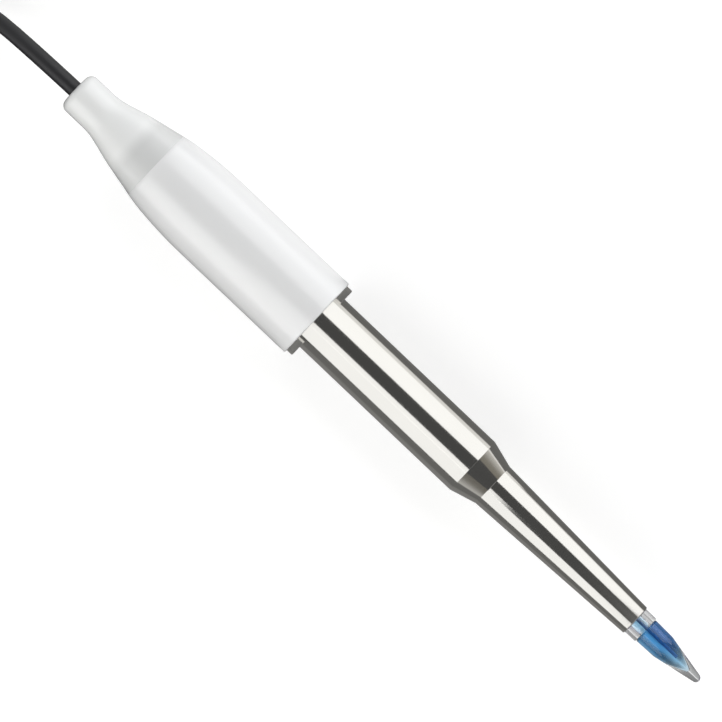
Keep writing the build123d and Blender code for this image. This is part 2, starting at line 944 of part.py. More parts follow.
parts = {name: on_electrode(shape) for name, shape in electrode_parts().items()}
parts.update({name: on_plug(shape) for name, shape in plug_parts().items()})
parts["cable_lead"] = cord_tube("cable_lead", lead_points())
parts["cable_hank"] = cable_hank()
parts["cable_tail"] = cord_tube("cable_tail", tail_points())
parts["hank_strap"] = hank_strap()

os.makedirs("parts", exist_ok=True)
for name, shape in parts.items():
    export_step(shape, f"parts/{name}.step")
print(len(parts), "parts written")
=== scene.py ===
import math
from typing import NamedTuple

import bmesh
import bpy
from bpy.props import FloatProperty, FloatVectorProperty, IntProperty, PointerProperty
from mathutils import Matrix, Vector


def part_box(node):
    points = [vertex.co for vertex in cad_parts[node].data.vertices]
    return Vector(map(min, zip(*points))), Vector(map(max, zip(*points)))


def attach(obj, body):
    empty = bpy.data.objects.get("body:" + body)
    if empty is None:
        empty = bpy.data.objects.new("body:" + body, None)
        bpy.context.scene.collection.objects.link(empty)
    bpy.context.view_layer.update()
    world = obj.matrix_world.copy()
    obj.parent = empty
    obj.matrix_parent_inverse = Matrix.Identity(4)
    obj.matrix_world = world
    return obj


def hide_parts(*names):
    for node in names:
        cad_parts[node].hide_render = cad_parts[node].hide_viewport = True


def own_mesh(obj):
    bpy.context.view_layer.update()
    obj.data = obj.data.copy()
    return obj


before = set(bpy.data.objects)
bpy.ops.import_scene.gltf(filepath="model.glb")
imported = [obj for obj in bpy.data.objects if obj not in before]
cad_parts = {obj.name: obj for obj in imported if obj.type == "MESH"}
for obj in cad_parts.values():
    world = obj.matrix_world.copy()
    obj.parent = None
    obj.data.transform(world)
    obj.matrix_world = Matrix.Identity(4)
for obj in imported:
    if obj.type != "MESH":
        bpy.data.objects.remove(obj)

bl_info = {
    "name": "pH electrode",
    "version": (1, 0, 0),
    "blender": (4, 5, 0),
    "location": "3D View > Sidebar > pH electrode",
    "description": "Dresses a pH electrode with a steel body, glass tip, cable and coaxial plug",
    "category": "Object",
}

# Outlines are in millimetres: stations from the boot's cable end along +X, radii from the axis.
MM = 0.001
ROOT = "electrode"
BOOT_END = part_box("cable_boot")[0][0]
AXIS_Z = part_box("handle_sleeve")[1][2] / 2
WHITE = (1.0, 1.0, 1.0)
WATER_IOR = 1.34
GLASS_IOR = 1.49
SPIN_STEPS = 160
WIRE_SPIN_STEPS = 24
ARC_STEPS = 6
CURVE_STEPS = 12
POINT_STEPS = 16
SHARP_ANGLE = 35.0


# Shape helpers


def to_electrode(station, radius=0.0):
    """Point of the upper outline for a station and radius in millimetres, in metres."""
    return Vector((BOOT_END + station * MM, 0.0, AXIS_Z + radius * MM))


def rounded(corners, steps=ARC_STEPS):
    """Outline points for corners (station, radius, fillet), with each fillet as an arc."""
    points = []
    for index, (x, y, fillet) in enumerate(corners):
        here = Vector((x, y))
        if fillet <= 0 or index in (0, len(corners) - 1):
            points.append((x, y))
            continue
        before = (Vector(corners[index - 1][:2]) - here).normalized()
        after = (Vector(corners[index + 1][:2]) - here).normalized()
        half = before.angle(after) / 2
        centre = here + (before + after).normalized() * (fillet / math.sin(half))
        start = here + before * (fillet / math.tan(half)) - centre
        end = here + after * (fillet / math.tan(half)) - centre
        turn = start.angle_signed(end)
        for step in range(steps + 1):
            arm = start.copy()
            arm.rotate(Matrix.Rotation(-turn * step / steps, 2))
            points.append(tuple(centre + arm))
    return points


def eased_curve(start, end, start_slope, end_slope):
    """Points of a cubic between two outline points with the given slopes, both ends left out."""
    (x0, y0), (x1, y1) = start, end
    run = x1 - x0
    points = []
    for step in range(1, CURVE_STEPS):
        t = step / CURVE_STEPS
        a, b = 2 * t**3 - 3 * t**2 + 1, t**3 - 2 * t**2 + t
        c, d = -2 * t**3 + 3 * t**2, t**3 - t**2
        y = a * y0 + b * start_slope * run + c * y1 + d * end_slope * run
        points.append((x0 + run * t, y))
    return points


def round_point(start, tip, radius):
    """Arc from the end of a straight taper, which begins at start, to the tip on the axis."""
    centre = tip - radius
    reach = math.hypot(centre - start[0], start[1])
    lean = math.atan2(start[1], centre - start[0]) - math.asin(radius / reach)
    points = []
    for step in range(POINT_STEPS + 1):
        angle = lean + (math.pi / 2 - lean) * step / POINT_STEPS
        points.append((centre + radius * math.sin(angle), radius * math.cos(angle)))
    return points


def finish_mesh(bm, name, sharp_angle=SHARP_ANGLE):
    """Cleans a bmesh and links it as an object at the origin, shaded smooth."""
    bmesh.ops.remove_doubles(bm, verts=bm.verts, dist=1e-7)
    bmesh.ops.recalc_face_normals(bm, faces=bm.faces)
    mesh = bpy.data.meshes.new(name)
    bm.to_mesh(mesh)
    bm.free()
    mesh.shade_smooth()
    mesh.set_sharp_from_angle(angle=math.radians(sharp_angle))
    obj = bpy.data.objects.new(name, mesh)
    bpy.context.collection.objects.link(obj)
    return obj


def turned(
    name, outline, closed=True, steps=SPIN_STEPS, origin=None, sharp_angle=SHARP_ANGLE
):
    """Full spin of an outline about its own axis, which runs along X through the origin given."""
    bm = bmesh.new()
    verts = [bm.verts.new((x * MM, 0.0, r * MM)) for x, r in outline]
    edges = [bm.edges.new(pair) for pair in zip(verts, verts[1:])]
    if closed:
        edges.append(bm.edges.new((verts[-1], verts[0])))
    bmesh.ops.spin(
        bm,
        geom=verts + edges,
        cent=(0, 0, 0),
        axis=(1, 0, 0),
        angle=math.tau,
        steps=steps,
        use_merge=True,
    )
    bmesh.ops.translate(bm, verts=bm.verts, vec=origin or to_electrode(0))
    return finish_mesh(bm, name, sharp_angle)


def dress(obj, material, body, replaced):
    """Gives a new piece its material, its body and the nodes that it stands for."""
    obj.data.materials.append(material)
    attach(obj, body)
    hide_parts(*replaced)
    return obj


def dress_node(name, material):
    """Gives a part of the frame a better material."""
    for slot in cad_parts[name].material_slots:
        slot.material = material


# Node helpers


class Nodes:
    """Small builder for a node tree."""

    def __init__(self, tree):
        self.nodes = tree.nodes
        self.links = tree.links

    def add(self, kind, **values):
        """Adds a node and sets its properties."""
        node = self.nodes.new(kind)
        for key, value in values.items():
            setattr(node, key, value)
        return node

    def link(self, source, target):
        """Links two sockets."""
        self.links.new(source, target)

    def value(self, number):
        """Constant value, as a socket."""
        node = self.add("ShaderNodeValue")
        node.outputs["Value"].default_value = number
        return node.outputs["Value"]

    def combine(self, operation, first, second):
        """Product, difference or larger of two values."""
        node = self.add("ShaderNodeMath", operation=operation)
        self.link(first, node.inputs[0])
        self.link(second, node.inputs[1])
        return node.outputs["Value"]

    def blend(self, factor, first, second):
        """Value between two others."""
        node = self.add("ShaderNodeMix")
        self.link(factor, node.inputs["Factor"])
        self.link(first, node.inputs["A"])
        self.link(second, node.inputs["B"])
        return node.outputs["Result"]

    def blend_colors(self, factor, first, second):
        """Colour between two constant ones."""
        node = self.add("ShaderNodeMix", data_type="RGBA")
        self.link(factor, node.inputs["Factor"])
        node.inputs["A"].default_value = (*first, 1.0)
        node.inputs["B"].default_value = (*second, 1.0)
        return node.outputs["Result"]

    def step(self, value, start, end, low, high):
        """Soft step from low to high as a value goes from start to end."""
        node = self.add("ShaderNodeMapRange", interpolation_type="SMOOTHSTEP")
        node.inputs["From Min"].default_value = start
        node.inputs["From Max"].default_value = end
        node.inputs["To Min"].default_value = low
        node.inputs["To Max"].default_value = high
        self.link(value, node.inputs["Value"])
        return node.outputs["Result"]

    def profile(self, value, stops):
        """Straight runs over a value, through pairs (value, result)."""
        first, last = stops[0][0], stops[-1][0]
        place = self.add("ShaderNodeMapRange")
        place.inputs["From Min"].default_value = first
        place.inputs["From Max"].default_value = last
        self.link(value, place.inputs["Value"])
        node = self.add("ShaderNodeFloatCurve")
        line = node.mapping.curves[0]
        for number, (x, result) in enumerate(stops):
            at = (x - first) / (last - first), result
            # A new curve already has two points.
            point = line.points[number] if number < 2 else line.points.new(*at)
            point.location = at
        for point in line.points:
            point.handle_type = "VECTOR"
        node.mapping.update()
        self.link(place.outputs["Result"], node.inputs["Value"])
        return node.outputs["Value"]


class Shader(Nodes):
    """Small builder for a node material."""

    def __init__(self, name):
        self.material = bpy.data.materials.new(name)
        self.material.use_nodes = True
        super().__init__(self.material.node_tree)
        self.surface = self.nodes["Principled BSDF"]
        self.output = self.nodes["Material Output"]
        self.coords = None

    def set(self, **values):
        """Sets sockets of the main shader, with underscores for the spaces in their names."""
        for key, value in values.items():
            self.surface.inputs[key.replace("_", " ")].default_value = value
        return self

    def place(self):
        """Object coordinates, shared by the textures of a material."""
        if self.coords is None:
            self.coords = self.add("ShaderNodeTexCoord")
        return self.coords.outputs["Object"]

    def place_axes(self):
        """Object coordinates as separate outputs X, Y and Z."""
        split = self.add("ShaderNodeSeparateXYZ")
        self.link(self.place(), split.inputs["Vector"])
        return split.outputs

    def noise(self, scale, detail=3.0, stretch=(1.0, 1.0, 1.0)):
        """Noise texture's value in object coordinates, scaled along each axis."""
        mapping = self.add("ShaderNodeMapping")
        mapping.inputs["Scale"].default_value = stretch
        self.link(self.place(), mapping.inputs["Vector"])
        noise = self.add("ShaderNodeTexNoise")
        noise.inputs["Scale"].default_value = scale
        noise.inputs["Detail"].default_value = detail
        self.link(mapping.outputs["Vector"], noise.inputs["Vector"])
        return noise.outputs["Fac"]

    def roughness(self, value, low, high):
        """Feeds a value, mapped from 0..1 to low..high, into the main shader's roughness."""
        node = self.add("ShaderNodeMapRange")
        node.inputs["To Min"].default_value = low
        node.inputs["To Max"].default_value = high
        self.link(value, node.inputs["Value"])
        self.link(node.outputs["Result"], self.surface.inputs["Roughness"])

    def bump(self, height, strength, distance):
        """Feeds a height into the main shader's normal."""
        node = self.add("ShaderNodeBump")
        node.inputs["Strength"].default_value = strength
        node.inputs["Distance"].default_value = distance
        self.link(height, node.inputs["Height"])
        self.link(node.outputs["Normal"], self.surface.inputs["Normal"])

    def tint(self, value, low, high):
        """Feeds a colour between low and high into the main shader's base colour."""
        self.link(self.blend_colors(value, low, high), self.surface.inputs["Base Color"])

    def clear_shadow(self, tint):
        """Lets shadow rays through, tinted, so that the floor is lit through the piece."""
        path = self.add("ShaderNodeLightPath")
        clear = self.add("ShaderNodeBsdfTransparent")
        clear.inputs["Color"].default_value = (*tint, 1.0)
        mix = self.add("ShaderNodeMixShader")
        self.link(path.outputs["Is Shadow Ray"], mix.inputs["Fac"])
        self.link(self.surface.outputs["BSDF"], mix.inputs[1])
        self.link(clear.outputs["BSDF"], mix.inputs[2])
        self.link(mix.outputs["Shader"], self.output.inputs["Surface"])


def shade(color, factor):
    """Colour scaled towards black or white."""
    return tuple(min(1.0, channel * factor) for channel in color)


def steel_material(name, color, roughness, along_axis=True):
    """Metal with fine turning lines round the axis, or with a fine even grain."""
    shader = Shader(name).set(Metallic=1.0)
    stretch = (60.0, 0.6, 0.6) if along_axis else (1.0, 1.0, 1.0)
    lines = shader.noise(scale=180.0, detail=4.0, stretch=stretch)
    cloud = shader.noise(scale=90.0, detail=2.0)
    shader.tint(cloud, shade(color, 0.97), shade(color, 1.02))
    shader.roughness(lines, roughness * 0.75, roughness * 1.3)
    shader.bump(lines, strength=0.02, distance=0.00002)
    return shader.material


def plastic_shader(name, color, roughness, grain=0.03):
    """Moulded plastic with a faint grain and uneven gloss."""
    shader = Shader(name).set(IOR=1.5)
    fine = shader.noise(scale=900.0)
    cloud = shader.noise(scale=60.0)
    shader.tint(cloud, shade(color, 0.985), shade(color, 1.01))
    shader.roughness(cloud, roughness * 0.85, roughness * 1.15)
    shader.bump(fine, strength=grain, distance=0.00005)
    return shader


def plastic_material(name, color, roughness, grain=0.03):
    """Material of a moulded plastic."""
    return plastic_shader(name, color, roughness, grain).material


def glass_material(name, color, roughness, ior, shadow):
    """Clear glass or plastic, with the tint of the light in its shadow."""
    shader = Shader(name).set(Transmission_Weight=1.0, IOR=ior, Roughness=roughness)
    smear = shader.noise(scale=150.0, detail=2.0)
    shader.tint(smear, shade(color, 0.99), color)
    shader.clear_shadow(shadow)
    return shader.material


def liquid_material(name, color, density):
    """Coloured liquid in glass: surface bent as from glass to water, colour from its depth."""
    shader = Shader(name).set(Transmission_Weight=1.0, IOR=WATER_IOR / GLASS_IOR, Roughness=0.0)
    shader.clear_shadow(shade(color, 1.6))
    volume = shader.add("ShaderNodeVolumeAbsorption")
    volume.inputs["Color"].default_value = (*color, 1.0)
    volume.inputs["Density"].default_value = density
    shader.link(volume.outputs["Volume"], shader.output.inputs["Volume"])
    return shader.material


def fabric_material():
    """Woven black strap."""
    shader = Shader("strap_fabric").set(Roughness=0.85)
    weave = shader.add("ShaderNodeTexWave", bands_direction="X")
    weave.inputs["Scale"].default_value = 900.0
    shader.link(shader.place(), weave.inputs["Vector"])
    shader.tint(weave.outputs["Fac"], (0.015, 0.015, 0.017), (0.04, 0.04, 0.043))
    shader.bump(weave.outputs["Fac"], strength=0.5, distance=0.0001)
    return shader.material


# Settings


class ElectrodeLooks(bpy.types.PropertyGroup):
    """Colours and surface finish of the pieces."""

    steel_color: FloatVectorProperty(
        name="Steel", description="Colour of the polished steel body", subtype="COLOR",
        default=(0.66, 0.65, 0.62), min=0.0, max=1.0,
    )
    steel_roughness: FloatProperty(
        name="Steel roughness", description="How blurred the steel's reflections are",
        default=0.11, min=0.0, max=1.0,
    )
    handle_color: FloatVectorProperty(
        name="Handle", description="Colour of the white handle", subtype="COLOR",
        default=(0.86, 0.865, 0.87), min=0.0, max=1.0,
    )
    boot_color: FloatVectorProperty(
        name="Boot", description="Colour of the milky boot", subtype="COLOR",
        default=(0.94, 0.95, 0.945), min=0.0, max=1.0,
    )
    buffer_color: FloatVectorProperty(
        name="Buffer", description="Colour of the filling solution", subtype="COLOR",
        default=(0.083, 0.633, 0.925), min=0.0, max=1.0,
    )
    buffer_density: FloatProperty(
        name="Buffer density", description="How quickly the filling solution darkens, per metre",
        default=600.0, min=0.0,
    )
    cable_color: FloatVectorProperty(
        name="Cable", description="Colour of the cable's jacket", subtype="COLOR",
        default=(0.018, 0.018, 0.020), min=0.0, max=1.0,
    )
    metal_color: FloatVectorProperty(
        name="Plug metal", description="Colour of the plug's nickel plating", subtype="COLOR",
        default=(0.66, 0.64, 0.60), min=0.0, max=1.0,
    )


class ElectrodeCord(bpy.types.PropertyGroup):
    """Cable and hank."""

    diameter: FloatProperty(
        name="Cable diameter", description="Outside diameter of the cable",
        default=0.0031, min=0.001, max=0.01, unit="LENGTH",
    )
    arc_points: IntProperty(
        name="Points in a fold", description="Control points on each round end of a turn",
        default=8, min=6, max=24,
    )


class ElectrodeStage(bpy.types.PropertyGroup):
    """Camera, lamps and room."""

    view_width: FloatProperty(
        name="View width", description="Width of the picture at the electrode's axis",
        default=0.13213, min=0.01, unit="LENGTH",
    )
    lens: FloatProperty(
        name="Lens", description="Focal length of the camera",
        default=600.0, min=50.0, unit="CAMERA",
    )
    roll: FloatProperty(
        name="Roll", description="Turn of the electrode in the picture",
        default=math.radians(43.498), subtype="ANGLE", unit="ROTATION",
    )
    upper_lamp: FloatProperty(
        name="Upper lamp", description="Brightness of the soft box on the upper right side",
        default=1.38, min=0.0,
    )
    lower_lamp: FloatProperty(
        name="Lower lamp", description="Brightness of the soft box on the lower left side",
        default=1.27, min=0.0,
    )
    card: FloatProperty(
        name="Card", description="Brightness of the dim cards past the soft boxes",
        default=0.38, min=0.0,
    )
    side_fill: FloatProperty(
        name="Side fill", description="Brightness of the low lamps that only light dull surfaces",
        default=2.0, min=0.0,
    )
    room_light: FloatProperty(
        name="Room light", description="Strength of the even light from all round",
        default=0.33, min=0.0,
    )


# Stage


class Lamp(NamedTuple):
    """Rectangular lamp beside the electrode, whose brightness is a share of a stage setting."""

    polar: float  # degrees from straight up towards +Y
    half_angle: float  # degrees, seen from the axis
    span: tuple  # metres along X
    setting: str
    share: float = 1.0
    color: tuple = WHITE
    distance: float = 0.5
    glossy: bool = True


BODY_SPAN = (-0.27, 0.19)
STRIP_SPAN = (-0.023, 0.045)
CARD_SPAN = (0.20, 0.60)
FILL_SPAN = (-0.5, 0.3)
WARM = (1.0, 0.90, 0.70)
LAMPS = {
    "upper_lamp": Lamp(58.7, 31.2, BODY_SPAN, "upper_lamp"),
    "lower_lamp": Lamp(-60.1, 26.1, BODY_SPAN, "lower_lamp"),
    "lower_strip": Lamp(-25.7, 8.1, STRIP_SPAN, "lower_lamp", distance=0.12),
    "upper_card_wide": Lamp(64.0, 27.0, CARD_SPAN, "card", 0.45, WARM),
    "upper_card_narrow": Lamp(64.0, 12.0, CARD_SPAN, "card", 0.55, WARM),
    "lower_card_wide": Lamp(-62.0, 27.0, CARD_SPAN, "card", 0.27, WARM),
    "lower_card_narrow": Lamp(-62.0, 12.0, CARD_SPAN, "card", 0.33, WARM),
    "upper_fill": Lamp(80.0, 12.0, FILL_SPAN, "side_fill", 1.0, (0.96, 0.98, 1.0), glossy=False),
    "lower_fill": Lamp(-66.0, 12.0, FILL_SPAN, "side_fill", 0.85, (1.0, 1.0, 0.96), glossy=False),
}

# Middle of the picture: a station in millimetres, and Y in metres
PICTURE_STATION = 72.112
PICTURE_Y = -0.000128
CAMERA_CLIP = (0.1, 20.0)
FLOOR_HALF_SIZE = 3.0
FLOOR_COLOR = (0.82, 0.82, 0.82)
FLOOR_EMISSION = 0.44
# Colours of the floor's painted glow: as the pieces mirror it, and as seen through the tip's blue
# part
PAINTED_MIRRORED_GLOW_COLOR = (1.0, 0.99, 0.97)
PAINTED_COOL_GLOW_COLOR = (0.75, 0.72, 1.0)

# Soft steps over the floor's X or Y: start and end in metres, then the values before and after.
# In the light on dull surfaces:
DULL_SIDES = (-0.010, 0.010, 0.25, 0.75)
# In reflections, where CONE_SHIFT gives metres by which the bright side moves away:
CONE_SHIFT = (0.034, 0.040, 0.0, 0.055)
BRIGHT_SIDE = (0.042, 0.050, 0.18, 1.0)
DIM_SIDE = (-0.030, -0.020, 0.12, 0.26)
BEFORE_AXIS = (0.0, 0.010, 1.0, 0.0)
BOOT_TO_HANDLE = (to_electrode(19.0).x, to_electrode(22.0).x, 0.55, 0.75)
HANDLE_SIDES = (0.0, 0.010, 0.04, 1.0)
PAST_HANDLE = (-0.0195, -0.0185, 0.0, 1.0)
BEFORE_CABLE = (-0.110, -0.095, 1.0, 0.0)
# In what is seen through clear pieces:
PAST_STEEL = (0.040, 0.050, 0.0, 1.0)
PAST_RING = (0.0648, 0.0652, 0.0, 1.0)
PAST_TIP = (0.0680, 0.0705, 0.0, 1.0)
PAST_TAPER = (0.0728, 0.0736, 0.0, 1.0)
BEFORE_POINT = (0.0705, 0.0725, 1.0, 0.0)
COOL_SIDE = (-0.0004, -0.0002, 1.0, 0.0)

# Brightness of the floor over Y in metres, as seen through the clear ring and the glass tip
RING_GLOW = (
    (-0.020, 0.4), (-0.0095, 0.4), (-0.008, 0.6), (-0.005, 0.6), (-0.0026, 0.75),
    (-0.0015, 1.0), (0.0, 1.0), (0.0002, 0.55), (0.0004, 0.5), (0.0008, 0.56), (0.0012, 0.6),
    (0.0020, 0.7), (0.0042, 0.26), (0.0082, 0.36), (0.0095, 0.55), (0.020, 0.55),
)
TIP_GLOW = (
    (-0.010, 0.5), (-0.0039, 0.38), (-0.0021, 0.42), (-0.0013, 0.60), (-0.0008, 0.50),
    (-0.0005, 0.30), (-0.0002, 0.38), (0.0, 0.5), (0.0002, 0.88), (0.0005, 0.98),
    (0.0008, 0.62), (0.0013, 0.37), (0.0021, 0.42), (0.0039, 0.66), (0.010, 0.5),
)
TAPER_GLOW = (
    (-0.010, 0.3), (-0.0033, 0.34), (-0.0020, 0.20), (-0.0012, 0.26), (-0.0007, 0.23),
    (-0.0003, 0.42), (-0.0001, 0.75), (0.0001, 0.9), (0.0004, 0.72), (0.0008, 0.42),
    (0.0012, 0.22), (0.0020, 0.20), (0.0033, 0.36), (0.010, 0.3),
)
POINT_GLOW = (
    (-0.010, 0.35), (-0.003, 0.35), (-0.0012, 0.42), (-0.0008, 0.44), (-0.0004, 0.58),
    (0.0, 1.0), (0.0004, 0.50), (0.0008, 0.24), (0.0022, 0.22), (0.010, 0.25),
)
# Brightness of the room in reflections, over the X of their direction
ROOM_GLOW = (
    (-1.0, 0.6), (-0.45, 0.6), (-0.27, 0.08), (0.22, 0.08), (0.31, 0.5), (0.40, 0.5),
    (0.46, 0.08), (0.60, 0.08), (0.78, 0.6), (1.0, 0.6),
)


class FloorShader(Shader):
    """Floor with a glow of its own for dull, mirroring and clear pieces, each by place."""

    def __init__(self, name):
        super().__init__(name)
        self.path = self.add("ShaderNodeLightPath")
        axes = self.place_axes()
        self.x, self.y = axes["X"], axes["Y"]
        self.base = self.surface.outputs["BSDF"]

    def glow(self, ray, strength, color, tint=None):
        """Shows one kind of ray a glow in place of the lit floor, tinted by place if given."""
        glow = self.add("ShaderNodeEmission")
        glow.inputs["Color"].default_value = (*color, 1.0)
        self.link(strength, glow.inputs["Strength"])
        if tint:
            self.link(tint, glow.inputs["Color"])
        mix = self.add("ShaderNodeMixShader")
        self.link(self.path.outputs[ray], mix.inputs["Fac"])
        self.link(self.base, mix.inputs[1])
        self.link(glow.outputs["Emission"], mix.inputs[2])
        self.base = mix.outputs["Shader"]
        self.link(self.base, self.output.inputs["Surface"])

    def mirrored(self):
        """Brightness that the pieces mirror: dark beside the steel, white beyond on +Y."""
        side = self.combine("SUBTRACT", self.y, self.step(self.x, *CONE_SHIFT))
        beyond = self.step(side, *BRIGHT_SIDE)
        near = self.combine(
            "MULTIPLY", self.step(self.y, *DIM_SIDE), self.step(self.y, *BEFORE_AXIS)
        )
        steel = self.combine("MAXIMUM", beyond, near)
        handle = self.combine(
            "MULTIPLY", self.step(self.x, *BOOT_TO_HANDLE), self.step(self.y, *HANDLE_SIDES)
        )
        beside = self.blend(self.step(self.x, *PAST_HANDLE), handle, steel)
        return self.blend(self.step(self.x, *BEFORE_CABLE), beside, self.value(1.0))

    def seen_through(self):
        """Brightness seen through clear pieces: plain under the boot, narrow bands by the tip."""
        ring, tip, taper, point = (
            self.profile(self.y, stops) for stops in (RING_GLOW, TIP_GLOW, TAPER_GLOW, POINT_GLOW)
        )
        cone = self.blend(self.step(self.x, *PAST_TAPER), taper, point)
        glass = self.blend(self.step(self.x, *PAST_TIP), tip, cone)
        clear = self.blend(self.step(self.x, *PAST_RING), ring, glass)
        return self.blend(self.step(self.x, *PAST_STEEL), self.value(1.0), clear)

    def cool_tint(self):
        """Painted glow colour: white, but cooler on the -Y side under the blue part of the tip."""
        blue_part = self.combine(
            "MULTIPLY", self.step(self.x, *PAST_RING), self.step(self.x, *BEFORE_POINT)
        )
        cool = self.combine("MULTIPLY", self.step(self.y, *COOL_SIDE), blue_part)
        return self.blend_colors(cool, WHITE, PAINTED_COOL_GLOW_COLOR)


class ELECTRODE_OT_stage(bpy.types.Operator):
    """Camera straight above the electrode, soft boxes beside it, and a pale floor"""

    bl_idname = "electrode.stage"
    bl_label = "Stage"

    def execute(self, context):
        scene = context.scene
        settings = scene.electrode_stage
        scene.view_settings.view_transform = "Standard"
        self.camera(scene, settings)
        for name, lamp in LAMPS.items():
            self.soft_box(name, lamp, settings)
        self.world(scene, settings)
        self.floor()
        return {"FINISHED"}

    def camera(self, scene, settings):
        """Long lens, looking straight down at the middle of the picture."""
        data = bpy.data.cameras.new("camera")
        data.lens = settings.lens
        data.clip_start, data.clip_end = CAMERA_CLIP
        half = math.atan(data.sensor_width / 2 / data.lens)
        distance = settings.view_width / 2 / math.tan(half)
        camera = bpy.data.objects.new("camera", data)
        middle = to_electrode(PICTURE_STATION)
        camera.location = (middle.x, PICTURE_Y, middle.z + distance)
        camera.rotation_euler = (0.0, 0.0, settings.roll)
        scene.collection.objects.link(camera)
        scene.camera = camera

    def soft_box(self, name, lamp, settings):
        """Adds a lamp that faces the electrode's axis and is hidden from the camera."""
        data = bpy.data.lights.new(name, "AREA")
        data.shape = "RECTANGLE"
        data.size = lamp.span[1] - lamp.span[0]
        data.size_y = 2 * lamp.distance * math.tan(math.radians(lamp.half_angle))
        brightness = lamp.share * getattr(settings, lamp.setting)
        data.energy = brightness * math.pi * data.size * data.size_y
        data.color = lamp.color
        obj = bpy.data.objects.new(name, data)
        angle = math.radians(lamp.polar)
        side, rise = lamp.distance * math.sin(angle), lamp.distance * math.cos(angle)
        obj.location = (sum(lamp.span) / 2, side, AXIS_Z + rise)
        obj.rotation_euler = (-angle, 0.0, 0.0)
        obj.visible_camera = False
        obj.visible_glossy = lamp.glossy
        bpy.context.collection.objects.link(obj)

    def world(self, scene, settings):
        """White for the camera, even light on dull surfaces, uneven along X in reflections."""
        world = bpy.data.worlds.new("studio")
        world.use_nodes = True
        scene.world = world
        tree = Nodes(world.node_tree)
        background = tree.nodes["Background"]
        background.inputs["Color"].default_value = (*WHITE, 1.0)
        path = tree.add("ShaderNodeLightPath")
        coords = tree.add("ShaderNodeTexCoord")
        split = tree.add("ShaderNodeSeparateXYZ")
        tree.link(coords.outputs["Generated"], split.inputs["Vector"])
        glossy = tree.add("ShaderNodeMapRange")
        glossy.inputs["To Min"].default_value = settings.room_light
        tree.link(tree.profile(split.outputs["X"], ROOM_GLOW), glossy.inputs["To Max"])
        tree.link(path.outputs["Is Glossy Ray"], glossy.inputs["Value"])
        seen = tree.combine("MAXIMUM", path.outputs["Is Camera Ray"], glossy.outputs["Result"])
        tree.link(seen, background.inputs["Strength"])

    def floor(self):
        """Pale floor that keeps its shadows, white where the camera sees it lit."""
        bm = bmesh.new()
        bmesh.ops.create_grid(bm, x_segments=1, y_segments=1, size=FLOOR_HALF_SIZE)
        floor = finish_mesh(bm, "floor")
        shader = FloorShader("floor_white")
        shader.set(Base_Color=(*FLOOR_COLOR, 1.0), Roughness=0.9, Specular_IOR_Level=0.0)
        shader.set(Emission_Color=(*WHITE, 1.0), Emission_Strength=FLOOR_EMISSION)
        shader.glow("Is Diffuse Ray", shader.step(shader.y, *DULL_SIDES), WHITE)
        shader.glow("Is Glossy Ray", shader.mirrored(), PAINTED_MIRRORED_GLOW_COLOR)
        shader.glow("Is Transmission Ray", shader.seen_through(), WHITE, shader.cool_tint())
        floor.data.materials.append(shader.material)


# Cable, all in millimetres; points are (station, Y, height above the electrode's axis)


CABLE_FROM_BOOT = ((17.0, 0.0, 0.0), (-4.5, 0.0, 0.0), (-26.0, -0.9, -6.7))
HANK_ENTRY = (-38.0, -7.1)
HANK_EXIT = (-74.0, -7.1)
HANK_EXIT_LAYER = 3
CABLE_TO_PLUG = ((-88.0, -1.4, -1.4), (-103.0, -1.4, -1.4))
CABLE_RESOLUTION = 6
HANK_MIDDLE_Y = 5.3
NEAR_FOLD, FAR_FOLD = -43.0, -66.5
FOLD_RADII = {"outer": 12.4, "inner": 9.3}
FOLD_BULGE = 0.37  # of the cable's diameter, where a fold climbs within its column
WAIST_SHIFT = 4.0
WAIST_LIFT = 0.6
STRANDS = (
    ("outer", 0), ("inner", 0), ("inner", 1), ("outer", 1),
    ("outer", 2), ("inner", 2), ("inner", 3), ("outer", 3),
)
LAYERS = 4
STRAP_WIDTH = 7.0
STRAP_THICKNESS = 0.6
STRAP_CORNER = 1.4
SPRING_CONE = 0.52
SPRING_SHEET = 0.3


